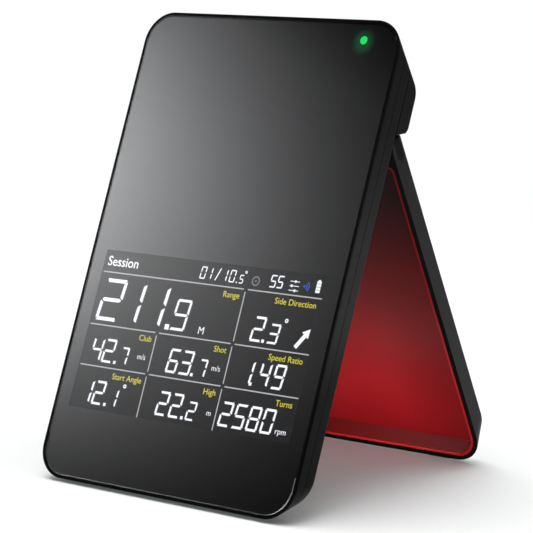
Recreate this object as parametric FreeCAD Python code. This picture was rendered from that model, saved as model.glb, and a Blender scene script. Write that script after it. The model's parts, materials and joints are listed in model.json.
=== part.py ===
import FreeCAD, Part
import math
import os

from FreeCAD import Vector

# Launch monitor: a display slab that leans back on a folding, full-width rear stand.
#
# The slab is drawn upright: X to the right, Y backwards from the face (a depth), Z up the face.
# The stand is drawn folded flat against the slab's back, swung open about its hinge, and then
# everything is leant back and set on the floor, centred on the origin, with the face towards -Y.
# Lengths are millimetres and angles are degrees.

# Slab
WIDTH = 112.5
HEIGHT = 170.95
CHIN = 0.25                 # how far the case reaches below the face's bottom edge
CORNER_R = 11.4
SLAB_DEPTH = 8.9
ROOF_SLOPE = 0.80           # fall of the top edge per millimetre of depth
BEVEL_SLOPE = 0.63          # rise of the bottom edge per millimetre of depth
LEAN = 21.7                 # from upright, leaning back

# Layers of the slab, as depths behind the face
GLASS_T = 0.60
MASK_GAP = 0.02
MASK_T = 0.08
SHELF_TOP = 0.80
RIM_BACK = 0.85
SHELF_BACK = 1.30
PARTING = 4.20
PARTING_GAP = 0.22
WALL = 1.40
BACK_WALL = 1.30

# Insets from the slab's outline
RIM_CHAMFER = 0.25
RIM_CHAMFER_BACK = 0.30
RIM_WIDTH = 1.23
GLASS_GAP = 0.05
GLASS_CHAMFER = 0.42        # shallow chamfer along the glass's bottom edge
GLASS_CHAMFER_BACK = 0.15   # its depth
GLASS_CHAMFER_TOP = 15.0    # height up the sides at which it ends, past the corners
SHELF_OUTER = 0.75
SHELF_INNER = 4.00

# Display window and status light
WINDOW_HALF = 49.0
WINDOW_X = -0.3
WINDOW_LOW = 25.5
WINDOW_HIGH = 82.3
LED_X = 40.4
LED_Z = 163.6
LED_R = 1.45

# Hump along the top of the back
HUMP_DEPTH = 15.5
HUMP_FOOT_Z = 134.4         # where its underside meets the slab
HUMP_LIP_Z = 139.0          # where its underside meets its rear face
HUMP_NOTCH = 1.26           # flat part of the underside beside the slab
HUMP_RUN = 3.7              # gently sloping part behind it
HUMP_RISE = 1.7
HUMP_WALL = 1.50
HUMP_EDGE_R = 1.10
SLAB_EDGE_R = 0.70

# Keys in the hump's rear face
KEY_Z = 148.0
KEY_PROUD = 0.50
KEY_TRAVEL = 0.50
KEY_GAP = 0.15
KEY_FLANGE = 0.70
KEY_FLANGE_T = 0.45
POWER_KEY_R = 3.60
SMALL_KEY_HALF = 4.60
SMALL_KEY_R = 2.60
POWER_KEY_X = 8.0
SMALL_KEYS_X = {"mode_button": 21.0, "up_button": 33.0, "down_button": 45.0}

# Stand
OPEN_ANGLE = 47.95
HINGE_Y = 12.3
HINGE_Z = 130.0
STAND_HALF = 56.0
STAND_FRONT = 3.2           # hinge line to the rim's plane
STAND_BACK = 3.2            # hinge line to the back panel's plane
STAND_ABOVE = 4.1           # hinge line to the top edge
STAND_BELOW = 129.4         # hinge line to the bottom edge
STAND_CORNER_R = 12.4
STAND_TOP_R = 1.0
STAND_LIP = 0.3             # straight part of the bottom edge, behind the rim's plane
STAND_RISE = 6.5            # rise of the bottom edge from there to the back panel
STAND_WALL = 0.80           # least wall between the tray and the outside, at the corners
STAND_RIM = 1.87
STAND_RIM_BOTTOM = 1.60
TRAY_DEPTH = 4.0            # rim's plane to the back panel's inside
STAND_EDGE_R = 0.55
STAND_TOP_CORNER_R = 0.6
TRAY_TOP_R = 2.0
LINER_TOP = 5.3             # hinge line to the start of the tray
LINER_WALL = 0.90
LINER_FLOOR = 0.50
LINER_GAP = 0.04
LINER_RAMP = 4.6            # run of the sloping wall at the tray's bottom end
RAMP_SHELL = 0.70           # liner's thickness there, along the stand

# Hinge
EAR_X = 44.0
EAR_T = 4.0
EAR_R = 2.5
EAR_SLOT_GAP = 0.60
EAR_SLOT_BELOW = 2.9
PIN_R = 1.0
PIN_FIT = 0.03
PIN_INNER_X = 37.5
PIN_OUTER_X = 52.0
WASHER_R = 2.1
WASHER_T = 0.45
CAP_T = 1.8
CAP_R = 1.75
CAP_BELOW = 2.5
CAP_BACK = 0.30

# Feet
BODY_FOOT_X = 37.0
BODY_FOOT_HALF = 3.5
BODY_FOOT_FRONT = 5.3
BODY_FOOT_BACK = 8.1
STAND_FOOT_X = 36.1
STAND_FOOT_HALF = 4.5
STAND_FOOT_FRONT = 0.35     # rim's plane to the foot's front and back
STAND_FOOT_T = 2.2
FOOT_SUNK = 0.60
FLOOR_CLEARANCE = 1.42      # height of the face's bottom edge above the floor

# Screws
SCREW_X = 51.6
SCREW_ZS = (16.0, 66.0, 118.0)
BOSS_R = 2.6
SCREW_R = 1.0
SCREW_HEAD_R = 1.9
SCREW_HEAD_T = 0.9
SCREW_SUNK = 0.10
SCREW_RECESS_R = 0.7
SCREW_RECESS_T = 0.6
COVER_SCREW_XS = (-44.0, -20.0, 20.0, 44.0)
COVER_SCREW_Z = 156.3
COVER_BOSS_R = 2.0

# Charging socket in the hump's left side
SOCKET_Y = 12.0
SOCKET_Z = 146.5
SOCKET_HALF = 4.47
SOCKET_HALF_T = 1.58
SOCKET_WALL = 0.30
SOCKET_LENGTH = 7.2

# Display panel, its backlight, tray and cable
LCD_HALF = 50.2
LCD_LOW = 22.2
LCD_HIGH = 84.6
LCD_FRONT = 0.90
LCD_T = 1.10
BACKLIGHT_T = 1.20
TRAY_T = 0.25
TRAY_GAP = 0.05
FLEX_X0 = 18.0
FLEX_X1 = 34.0
FLEX_T = 0.20
FLEX_DROP = 1.2             # straight part between the panel and the bend

# Posts, hump opening and sound holes in the rear housing
BOSS_FRONT = 3.60
BOSS_BACK = 6.20
WEB_HALF = 2.0              # half height of the web from a post to the wall
BAY_HALF = 50.5
BAY_LOW = 138.6
BAY_HIGH = 153.9
GRILLE_Z = 19.0
GRILLE_HOLE_R = 0.65
GRILLE_PITCH = 2.6
GRILLE_COLUMNS = 9
GRILLE_ROWS = 3

# Boards
BOARD_FRONT = 4.30
BOARD_T = 0.80
BOARD_CORNER_R = 2.0
BOARD_HALF = 47.0
BOARD_LOW = 33.0
BOARD_HIGH = 88.0
RADAR_HALF = 44.0
RADAR_LOW = 94.0
RADAR_HIGH = 150.0
RADAR_FRONT = 1.70
PATCH = 3.6
PATCH_PITCH = 6.2
PATCH_T = 0.10
PATCH_ARRAYS = ((8, 3, 128.0), (4, 2, 104.0))       # columns, rows and height of the lowest row
SHIELD_HALF = 26.0
SHIELD_LOW = 102.0
SHIELD_HIGH = 136.0
SHIELD_DEPTH = 1.6
SHIELD_SKIN = 0.2
# Each chip: centre x and z, width, height and thickness
CHIPS = (
    (-8, 56, 12, 12, 1.2),
    (14, 58, 9, 12, 1.0),
    (-30, 52, 8, 8, 1.0),
    (30, 70, 7, 7, 1.0),
    (-32, 74, 10, 7, 0.9),
    (8, 40, 6, 5, 0.9),
    (-20, 85, 8, 4, 1.6),
)
REAR_BOARD_FRONT = 9.3
REAR_BOARD_HALF = 49.5
REAR_BOARD_LOW = 139.6
REAR_BOARD_HIGH = 153.0
SWITCH_HALF = 2.2
SWITCH_BUTTON_R = 1.1
SWITCH_BUTTON_T = 0.7
SWITCH_GAP = 0.1
LED_BOARD_FRONT = 3.20
LED_BOARD_T = 0.60
LED_BOARD_X0 = 34.5
LED_BOARD_X1 = 46.5
LED_BOARD_LOW = 157.5
LED_BOARD_HIGH = 165.0
LED_T = 0.60
LED_HALF = 1.2

# Battery and speaker
BATTERY_HALF = 38.0
BATTERY_LOW = 92.5
BATTERY_HIGH = 127.0
BATTERY_FRONT = 4.50
BATTERY_T = 2.80
BATTERY_CORNER_R = 2.5
TAPE_INSET = 6.0
LEAD_R = 0.5
LEAD_XS = (-21.5, -18.5)
LEAD_FOOT_Z = 87.0
LEAD_LIFT = 0.8             # from the main board's back
SPEAKER_HALF = 14.0
SPEAKER_LOW = 11.5
SPEAKER_HIGH = 27.5
SPEAKER_FRONT = 4.4
SPEAKER_BACK = 7.1
SPEAKER_CORNER_R = 3.0
SPEAKER_RIM = 2.0
SPEAKER_DISH = 0.6
GASKET_WIDTH = 1.5

MASK_BACK = GLASS_T + MASK_GAP + MASK_T
BACK_INNER = SLAB_DEPTH - BACK_WALL
HUMP_INNER = HUMP_DEPTH - HUMP_WALL
TRAY_FLOOR_Y = HINGE_Y - STAND_FRONT + TRAY_DEPTH
REAR_FRONT = PARTING + PARTING_GAP
KEY_BACK = HUMP_INNER - 0.15
KEY_STEM = KEY_BACK - KEY_FLANGE_T
BIG = 400.0


# ---------------------------------------------------------------- shape helpers

def block(x0, x1, y0, y1, z0, z1):
    """Box between two corners."""
    return Part.makeBox(x1 - x0, y1 - y0, z1 - z0, Vector(x0, y0, z0))


def cylinder_y(x, z, radius, y0, y1):
    """Cylinder along Y."""
    return Part.makeCylinder(radius, y1 - y0, Vector(x, y0, z), Vector(0, 1, 0))


def cylinder_x(y, z, radius, x0, x1):
    """Cylinder along X."""
    return Part.makeCylinder(radius, x1 - x0, Vector(x0, y, z), Vector(1, 0, 0))


def rounded_wire(half, low, high, r_low, r_high, y):
    """Rounded rectangle in a plane of constant Y, with its own radius at the bottom and the top."""
    corners = (
        (half - r_low, low + r_low, r_low, -90),
        (half - r_high, high - r_high, r_high, 0),
        (r_high - half, high - r_high, r_high, 90),
        (r_low - half, low + r_low, r_low, 180),
    )
    arcs = []
    for x, z, radius, start in corners:
        points = []
        for turn in (0, 45, 90):
            angle = math.radians(start + turn)
            points.append(Vector(x + radius * math.cos(angle), y, z + radius * math.sin(angle)))
        arcs.append(points)
    edges = []
    for this, following in zip(arcs, arcs[1:] + arcs[:1]):
        edges.append(Part.Arc(*this).toShape())
        edges.append(Part.makeLine(this[2], following[0]))
    return Part.Wire(edges)


def rounded_plate(half, low, high, radius, y0, y1, r_high=None, x=0.0):
    """Plate with rounded corners between two depths."""
    wire = rounded_wire(half, low, high, radius, radius if r_high is None else r_high, y0)
    plate = Part.Face(wire).extrude(Vector(0, y1 - y0, 0))
    plate.translate(Vector(x, 0, 0))
    return plate


def outline(y, inset):
    """Slab's outline at a depth: its top falls and its bottom rises towards the back."""
    low = BEVEL_SLOPE * y - CHIN + inset
    high = HEIGHT - ROOF_SLOPE * y - inset
    radius = CORNER_R - inset
    return rounded_wire(WIDTH / 2 - inset, low, high, radius, radius, y)


def slab(y0, y1, inset, inset_back=None):
    """Solid slice of the slab between two depths, drawn in from the outline by an inset."""
    back = inset if inset_back is None else inset_back
    return Part.makeLoft([outline(y0, inset), outline(y1, back)], True, True)


def slab_ring(y0, y1, outer, inner):
    """Ring that follows the slab's outline."""
    margin = 1.0
    hole = slab(y0 - margin, y1 + margin, inner) if y0 > margin else slab(0, y1 + margin, inner)
    return slab(y0, y1, outer).cut(hole)


def round_back_edges(shape, y, radius):
    """Rounds every edge that lies in the plane of one depth."""
    flat = 1e-6
    edges = [e for e in shape.Edges if abs(e.BoundBox.YMin - y) < flat and abs(e.BoundBox.YMax - y) < flat]
    return shape.makeFillet(radius, edges)


def side_prism(points, half):
    """Solid with a given (Y, Z) outline, across the width."""
    corners = [Vector(-half, y, z) for y, z in points]
    return Part.Face(Part.makePolygon(corners + corners[:1])).extrude(Vector(2 * half, 0, 0))


def union(shapes):
    """Shapes joined into one solid."""
    first, *rest = shapes
    return first.fuse(rest).removeSplitter() if rest else first


def without(shape, cutters):
    """Shape with each cutter taken away."""
    for cutter in cutters:
        shape = shape.cut(cutter)
    return shape


def mirrored(shape):
    """The shape and its mirror image, left and right."""
    return [shape, shape.mirror(Vector(0, 0, 0), Vector(1, 0, 0))]


# ---------------------------------------------------------------- face and display

def front_glass():
    """Cover glass with a shallow chamfer along its bottom edge and bottom corners."""
    edge = RIM_WIDTH + GLASS_GAP
    above = block(-WIDTH, WIDTH, 0, GLASS_CHAMFER_BACK, GLASS_CHAMFER_TOP, HEIGHT)
    return union([
        slab(0, GLASS_CHAMFER_BACK, edge + GLASS_CHAMFER, edge),
        slab(GLASS_CHAMFER_BACK, GLASS_T, edge),
        slab(0, GLASS_CHAMFER_BACK, edge).common(above),
    ])


def mask_film():
    """Black print behind the glass, open at the display window and the status light."""
    film = slab(GLASS_T + MASK_GAP, MASK_BACK, RIM_WIDTH + 2 * GLASS_GAP)
    window = block(WINDOW_X - WINDOW_HALF, WINDOW_X + WINDOW_HALF, 0, SHELF_TOP, WINDOW_LOW, WINDOW_HIGH)
    return without(film, [window, cylinder_y(LED_X, LED_Z, LED_R + 0.02, 0, SHELF_TOP)])


def glass_adhesive():
    """Tape that holds the glass on the bezel's shelf."""
    return slab_ring(MASK_BACK, SHELF_TOP, RIM_WIDTH + 0.3, SHELF_INNER - 0.2)


def display_bezel():
    """Gloss frame round the glass, with a shelf behind it."""
    rim = union([slab(0, RIM_CHAMFER_BACK, RIM_CHAMFER, 0), slab(RIM_CHAMFER_BACK, RIM_BACK, 0)])
    rim = without(rim, [slab(0, SHELF_TOP, RIM_WIDTH), slab(0, RIM_BACK + 1, SHELF_INNER)])
    return union([rim, slab_ring(SHELF_TOP, SHELF_BACK, SHELF_OUTER, SHELF_INNER)])


def lcd_panel():
    """Liquid crystal glass sandwich."""
    return block(-LCD_HALF, LCD_HALF, LCD_FRONT, LCD_FRONT + LCD_T, LCD_LOW, LCD_HIGH)


def lcd_backlight():
    """Light guide and diffuser films."""
    front = LCD_FRONT + LCD_T
    return block(-LCD_HALF, LCD_HALF, front, front + BACKLIGHT_T, LCD_LOW, LCD_HIGH)


def lcd_tray():
    """Steel tray that clamps the panel and its backlight, notched for the flex cable."""
    inner = LCD_FRONT + LCD_T + BACKLIGHT_T
    front = SHELF_BACK + 0.1
    wall = TRAY_GAP + TRAY_T
    half = LCD_HALF + wall
    outer = block(-half, half, front, inner + TRAY_T, LCD_LOW - wall, LCD_HIGH + wall)
    half = LCD_HALF + TRAY_GAP
    room = block(-half, half, 0, inner, LCD_LOW - TRAY_GAP, LCD_HIGH + TRAY_GAP)
    notch = block(FLEX_X0 - 0.5, FLEX_X1 + 0.5, 0, inner - 0.5, LCD_LOW - 2, LCD_LOW + 0.5)
    return without(outer, [room, notch])


def display_flex():
    """Flat cable from the panel's lower edge, round a U bend, to the main board's front."""
    front = LCD_FRONT + LCD_T / 2 + FLEX_T
    back = BOARD_FRONT
    bend_z = LCD_LOW - FLEX_DROP
    middle = (front + back) / 2
    outer_r = (back - front) / 2 + FLEX_T / 2
    y0 = middle - outer_r
    y1 = middle + outer_r
    bend = without(cylinder_x(middle, bend_z, outer_r, FLEX_X0, FLEX_X1), [
        cylinder_x(middle, bend_z, outer_r - FLEX_T, FLEX_X0 - 1, FLEX_X1 + 1),
        block(FLEX_X0 - 1, FLEX_X1 + 1, y0 - 1, y1 + 1, bend_z, bend_z + outer_r + 1),
    ])
    legs = [
        block(FLEX_X0, FLEX_X1, y0, y0 + FLEX_T, bend_z, LCD_LOW),
        block(FLEX_X0, FLEX_X1, y1 - FLEX_T, y1, bend_z, BOARD_LOW + 4),
    ]
    flex = union([bend] + legs)
    flex.translate(Vector(0, back - y1, 0))
    return flex


# ---------------------------------------------------------------- housings

def bosses(y0, y1, radius):
    """Screw posts down both sides."""
    return [cylinder_y(side * SCREW_X, z, radius, y0, y1) for side in (-1, 1) for z in SCREW_ZS]


def front_housing():
    """Front half of the case: a wall with a step for the bezel's shelf, and screw posts."""
    wall = slab_ring(RIM_BACK, PARTING, 0, WALL)
    step = slab(RIM_BACK - 0.5, SHELF_BACK + 0.02, SHELF_OUTER - 0.02)
    webs = []
    for side in (-1, 1):
        x0, x1 = sorted((side * SCREW_X, side * (WIDTH / 2 - WALL / 2)))
        webs += [block(x0, x1, BOSS_FRONT, PARTING, z - WEB_HALF, z + WEB_HALF) for z in SCREW_ZS]
    posts = without(union(webs + bosses(BOSS_FRONT, BOSS_BACK, BOSS_R)),
                    bosses(BOSS_FRONT - 1, BOSS_BACK + 1, SCREW_R))
    return union([wall.cut(step), posts])


def grille_holes():
    """Staggered rows of round sound holes behind the speaker."""
    holes = []
    for row in range(GRILLE_ROWS):
        shift = GRILLE_PITCH / 2 if row % 2 else 0
        for column in range(GRILLE_COLUMNS - row % 2):
            x = (column - (GRILLE_COLUMNS - 1) / 2) * GRILLE_PITCH + shift
            z = GRILLE_Z + (row - 1) * GRILLE_PITCH
            holes.append(cylinder_y(x, z, GRILLE_HOLE_R, BACK_INNER - 1, SLAB_DEPTH + 1))
    return holes


def hinge_ear():
    """Ear on the slab's back that holds the hinge pin, on the right."""
    x0 = EAR_X - EAR_T / 2
    x1 = EAR_X + EAR_T / 2
    ear = union([
        block(x0, x1, SLAB_DEPTH - 0.5, HINGE_Y, HINGE_Z - EAR_R, HINGE_Z + EAR_R),
        cylinder_x(HINGE_Y, HINGE_Z, EAR_R, x0, x1),
    ])
    return ear.cut(cylinder_x(HINGE_Y, HINGE_Z, PIN_R + PIN_FIT, x0 - 1, x1 + 1))


def body_foot_blocks(sunk):
    """Foot blocks under the slab's bevel, before they are trimmed to the floor."""
    z_low = -12.0
    top = side_prism([
        (BODY_FOOT_FRONT, z_low),
        (BODY_FOOT_BACK, z_low),
        (BODY_FOOT_BACK, BEVEL_SLOPE * BODY_FOOT_BACK + sunk),
        (BODY_FOOT_FRONT, BEVEL_SLOPE * BODY_FOOT_FRONT + sunk),
    ], BODY_FOOT_HALF)
    top.translate(Vector(BODY_FOOT_X, 0, 0))
    return mirrored(top)


def rear_housing():
    """Rear half of the slab: wall, back panel, screw sleeves, sound holes and the hinge's ears."""
    outer = round_back_edges(slab(REAR_FRONT, SLAB_DEPTH, 0), SLAB_DEPTH, SLAB_EDGE_R)
    shell = outer.cut(slab(REAR_FRONT - 1, BACK_INNER, WALL))
    bay = block(-BAY_HALF, BAY_HALF, BACK_INNER - 1, SLAB_DEPTH + 1, BAY_LOW, BAY_HIGH)
    shell = union([shell.cut(bay)] + bosses(BOSS_BACK, BACK_INNER + 0.5, BOSS_R) + mirrored(hinge_ear()))
    cuts = bosses(BOSS_BACK - 1, SLAB_DEPTH + 1, SCREW_R + 0.15)
    cuts += bosses(SLAB_DEPTH - SCREW_HEAD_T - SCREW_SUNK, SLAB_DEPTH + 1, SCREW_HEAD_R + 0.2)
    cuts += [cylinder_y(x, COVER_SCREW_Z, SCREW_R + 0.15, BACK_INNER - 1, SLAB_DEPTH + 1)
             for x in COVER_SCREW_XS]
    return without(shell, cuts + grille_holes() + body_foot_blocks(FOOT_SUNK))


def hump_profile(inset, back):
    """(Y, Z) outline of the hump's underside, as a prism that reaches over the top."""
    lift = inset * 1.2
    return side_prism([
        (SLAB_DEPTH, HUMP_FOOT_Z + lift),
        (SLAB_DEPTH + HUMP_NOTCH, HUMP_FOOT_Z + lift),
        (SLAB_DEPTH + HUMP_NOTCH + HUMP_RUN, HUMP_FOOT_Z + lift + HUMP_RISE),
        (back, HUMP_LIP_Z + lift),
        (back, HEIGHT),
        (SLAB_DEPTH, HEIGHT),
    ], WIDTH)


def key_hole_shapes(margin, y0, y1):
    """The keys' outlines, grown by a margin, between two depths."""
    shapes = {"power_button": cylinder_y(POWER_KEY_X, KEY_Z, POWER_KEY_R + margin, y0, y1)}
    for name, x in SMALL_KEYS_X.items():
        radius = SMALL_KEY_R + margin
        shapes[name] = rounded_plate(SMALL_KEY_HALF + margin, KEY_Z - radius, KEY_Z + radius,
                                     radius - 0.01, y0, y1, x=x)
    return shapes


def socket_plug(margin, x0, x1):
    """Rounded bar with the charging socket's outline, along X."""
    half = SOCKET_HALF + margin
    radius = SOCKET_HALF_T + margin
    ends = [cylinder_x(SOCKET_Y, SOCKET_Z + side * (half - radius), radius, x0, x1) for side in (-1, 1)]
    middle = block(x0, x1, SOCKET_Y - radius, SOCKET_Y + radius,
                   SOCKET_Z - half + radius, SOCKET_Z + half - radius)
    return union(ends + [middle])


def hump_cover():
    """Thick cover along the top of the back, over the key board and the charging socket."""
    outer = round_back_edges(slab(SLAB_DEPTH, HUMP_DEPTH, 0), HUMP_DEPTH, HUMP_EDGE_R)
    outer = outer.common(hump_profile(0, HUMP_DEPTH))
    room = slab(SLAB_DEPTH - 1, HUMP_INNER, HUMP_WALL).common(hump_profile(HUMP_WALL, HUMP_INNER))
    posts = [cylinder_y(x, COVER_SCREW_Z, COVER_BOSS_R, SLAB_DEPTH, HUMP_INNER + 0.5)
             for x in COVER_SCREW_XS]
    cover = union([outer.cut(room)] + posts)
    cuts = [cylinder_y(x, COVER_SCREW_Z, SCREW_R, SLAB_DEPTH - 1, HUMP_INNER - 0.4)
            for x in COVER_SCREW_XS]
    cuts += key_hole_shapes(KEY_GAP, HUMP_INNER - 1, HUMP_DEPTH + 1).values()
    cuts.append(socket_plug(0.1, -WIDTH / 2 - 1, -WIDTH / 2 + HUMP_WALL + 1))
    return without(cover, cuts)


def housing_screws():
    """Screws that close the slab from behind."""
    screws = []
    for side in (-1, 1):
        for z in SCREW_ZS:
            head_y = SLAB_DEPTH - SCREW_HEAD_T - SCREW_SUNK
            head = cylinder_y(side * SCREW_X, z, SCREW_HEAD_R, head_y, SLAB_DEPTH - SCREW_SUNK)
            recess = cylinder_y(side * SCREW_X, z, SCREW_RECESS_R, SLAB_DEPTH - SCREW_RECESS_T, SLAB_DEPTH)
            shank = cylinder_y(side * SCREW_X, z, SCREW_R - 0.01, BOSS_FRONT, head_y)
            screws.append(union([head, shank]).cut(recess))
    return Part.makeCompound(screws)


def cover_screws():
    """Screws that hold the hump's cover from inside the slab."""
    screws = []
    for x in COVER_SCREW_XS:
        head = cylinder_y(x, COVER_SCREW_Z, SCREW_HEAD_R, BACK_INNER - SCREW_HEAD_T, BACK_INNER)
        shank = cylinder_y(x, COVER_SCREW_Z, SCREW_R - 0.01, BACK_INNER, HUMP_INNER - 1)
        screws.append(union([head, shank]))
    return Part.makeCompound(screws)


# ---------------------------------------------------------------- inside the slab

def main_board():
    """Main circuit board behind the display."""
    return rounded_plate(BOARD_HALF, BOARD_LOW, BOARD_HIGH, BOARD_CORNER_R,
                         BOARD_FRONT, BOARD_FRONT + BOARD_T)


def main_chips():
    """Processor, memory, radio, power chips and the battery's connector on the board's back."""
    y0 = BOARD_FRONT + BOARD_T
    return Part.makeCompound([
        block(x - w / 2, x + w / 2, y0, y0 + t, z - h / 2, z + h / 2) for x, z, w, h, t in CHIPS
    ])


def radar_board():
    """Microwave board that looks out through the upper half of the glass."""
    return rounded_plate(RADAR_HALF, RADAR_LOW, RADAR_HIGH, BOARD_CORNER_R,
                         RADAR_FRONT, RADAR_FRONT + BOARD_T)


def patch_antennas():
    """Copper patches: a wide receiving array over a small sending array."""
    patches = []
    for columns, rows, z0 in PATCH_ARRAYS:
        for column in range(columns):
            for row in range(rows):
                x = (column - (columns - 1) / 2) * PATCH_PITCH
                z = z0 + row * PATCH_PITCH
                patches.append(block(x - PATCH / 2, x + PATCH / 2, RADAR_FRONT - PATCH_T, RADAR_FRONT,
                                     z - PATCH / 2, z + PATCH / 2))
    return Part.makeCompound(patches)


def radar_shield():
    """Metal can over the radar's chips, behind its board."""
    y0 = RADAR_FRONT + BOARD_T
    y1 = y0 + SHIELD_DEPTH
    can = block(-SHIELD_HALF, SHIELD_HALF, y0, y1, SHIELD_LOW, SHIELD_HIGH)
    half = SHIELD_HALF - SHIELD_SKIN
    return can.cut(block(-half, half, y0 - 1, y1 - SHIELD_SKIN,
                         SHIELD_LOW + SHIELD_SKIN, SHIELD_HIGH - SHIELD_SKIN))


def battery_cell():
    """Flat lithium pouch cell."""
    return rounded_plate(BATTERY_HALF, BATTERY_LOW, BATTERY_HIGH, BATTERY_CORNER_R,
                         BATTERY_FRONT, BATTERY_FRONT + BATTERY_T)


def battery_tape():
    """Foam tape between the cell and the back panel."""
    return rounded_plate(BATTERY_HALF - TAPE_INSET, BATTERY_LOW + TAPE_INSET, BATTERY_HIGH - TAPE_INSET,
                         BATTERY_CORNER_R, BATTERY_FRONT + BATTERY_T, BACK_INNER)


def battery_leads():
    """Two short leads from the cell to their connector on the main board."""
    y = BOARD_FRONT + BOARD_T + LEAD_LIFT
    return Part.makeCompound([
        Part.makeCylinder(LEAD_R, BATTERY_LOW - LEAD_FOOT_Z, Vector(x, y, LEAD_FOOT_Z)) for x in LEAD_XS
    ])


def speaker_plate(inset, y0, y1):
    """Plate with the speaker's outline, drawn in by an inset."""
    return rounded_plate(SPEAKER_HALF - inset, SPEAKER_LOW + inset, SPEAKER_HIGH - inset,
                         SPEAKER_CORNER_R - inset, y0, y1)


def speaker():
    """Flat speaker that faces the sound holes."""
    return speaker_plate(0, SPEAKER_FRONT, SPEAKER_BACK).cut(
        speaker_plate(SPEAKER_RIM, SPEAKER_BACK - SPEAKER_DISH, SPEAKER_BACK + 1))


def speaker_gasket():
    """Foam ring that seals the speaker to the back panel."""
    return speaker_plate(0, SPEAKER_BACK, BACK_INNER).cut(
        speaker_plate(GASKET_WIDTH, SPEAKER_BACK - 1, BACK_INNER + 1))


def light_pipe():
    """Clear rod that brings the status light to the glass."""
    return cylinder_y(LED_X, LED_Z, LED_R, GLASS_T + 0.01, LED_BOARD_FRONT - LED_T)


def status_led():
    """Green light-emitting diode."""
    return block(LED_X - LED_HALF, LED_X + LED_HALF, LED_BOARD_FRONT - LED_T, LED_BOARD_FRONT,
                 LED_Z - LED_HALF, LED_Z + LED_HALF)


def led_board():
    """Small board that carries the status light."""
    return block(LED_BOARD_X0, LED_BOARD_X1, LED_BOARD_FRONT, LED_BOARD_FRONT + LED_BOARD_T,
                 LED_BOARD_LOW, LED_BOARD_HIGH)


# ---------------------------------------------------------------- keys and socket in the hump

def rear_board():
    """Board in the hump that carries the key switches and the charging socket."""
    return block(-REAR_BOARD_HALF, REAR_BOARD_HALF, REAR_BOARD_FRONT, REAR_BOARD_FRONT + BOARD_T,
                 REAR_BOARD_LOW, REAR_BOARD_HIGH)


def tactile_switches():
    """One small switch behind each key."""
    y0 = REAR_BOARD_FRONT + BOARD_T
    top = KEY_STEM - KEY_TRAVEL - SWITCH_GAP
    switches = []
    for x in (POWER_KEY_X, *SMALL_KEYS_X.values()):
        base = block(x - SWITCH_HALF, x + SWITCH_HALF, y0, top - SWITCH_BUTTON_T,
                     KEY_Z - SWITCH_HALF, KEY_Z + SWITCH_HALF)
        button = cylinder_y(x, KEY_Z, SWITCH_BUTTON_R, y0, top)
        switches.append(union([base, button]))
    return Part.makeCompound(switches)


def key(name):
    """Key cap with a retaining flange behind the cover's wall and a soft front edge."""
    cap = key_hole_shapes(0, KEY_STEM, HUMP_DEPTH + KEY_PROUD)[name]
    cap = round_back_edges(cap, HUMP_DEPTH + KEY_PROUD, 0.3)
    return union([cap, key_hole_shapes(KEY_FLANGE, KEY_STEM, KEY_BACK)[name]])


def usb_connector():
    """Metal charging socket with its contact tongue."""
    x0 = -WIDTH / 2 + 0.2
    shell = socket_plug(0, x0, x0 + SOCKET_LENGTH)
    shell = shell.cut(socket_plug(-SOCKET_WALL, x0 - 1, x0 + SOCKET_LENGTH - 0.8))
    tongue = block(x0 + 1, x0 + SOCKET_LENGTH - 0.5, SOCKET_Y - 0.35, SOCKET_Y + 0.35,
                   SOCKET_Z - 3.3, SOCKET_Z + 3.3)
    return union([shell, tongue])


# ---------------------------------------------------------------- stand, drawn folded

def stand_side_profile():
    """Stand's side view at its top end: rounded about the hinge, with the flat that stops it open."""
    angle = math.radians(OPEN_ANGLE)
    front = HINGE_Y - STAND_FRONT
    back = HINGE_Y + STAND_BACK
    bottom = HINGE_Z - STAND_BELOW
    top = HINGE_Z + STAND_ABOVE

    def around(turn):
        y = HINGE_Y - STAND_FRONT * math.cos(turn)
        return Vector(-BIG / 2, y, HINGE_Z + STAND_FRONT * math.sin(turn))

    stop_start = around(angle)
    stop_run = (top - stop_start.z) / math.cos(angle)
    stop_end = Vector(-BIG / 2, stop_start.y + stop_run * math.sin(angle), top)
    corners = [Vector(-BIG / 2, y, z) for y, z in (
        (front, bottom), (front, HINGE_Z), (back - STAND_TOP_R, top), (back, top - STAND_TOP_R),
        (back, bottom),
    )]
    low_front, hinge_front, top_back, back_top, low_back = corners
    soft = STAND_TOP_R * (1 - math.cos(math.pi / 4))
    knee = Vector(-BIG / 2, back - soft, top - soft)
    edges = [
        Part.makeLine(low_front, hinge_front),
        Part.Arc(hinge_front, around(angle / 2), stop_start).toShape(),
        Part.makeLine(stop_start, stop_end),
        Part.makeLine(stop_end, top_back),
        Part.Arc(top_back, knee, back_top).toShape(),
        Part.makeLine(back_top, low_back),
        Part.makeLine(low_back, low_front),
    ]
    return Part.Face(Part.Wire(edges)).extrude(Vector(BIG, 0, 0))


def stand_body(inset):
    """Stand's solid body before its top is shaped: its bottom edge rises towards the back."""
    front = HINGE_Y - STAND_FRONT
    back = HINGE_Y + STAND_BACK
    bottom = HINGE_Z - STAND_BELOW + inset
    top = HINGE_Z + STAND_ABOVE
    corner_r = STAND_CORNER_R - inset
    wires = [rounded_wire(STAND_HALF - inset, low, top, corner_r, STAND_TOP_CORNER_R, y)
             for y, low in ((front, bottom), (front + STAND_LIP, bottom), (back, bottom + STAND_RISE))]
    return Part.makeLoft(wires, True, True)


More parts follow.
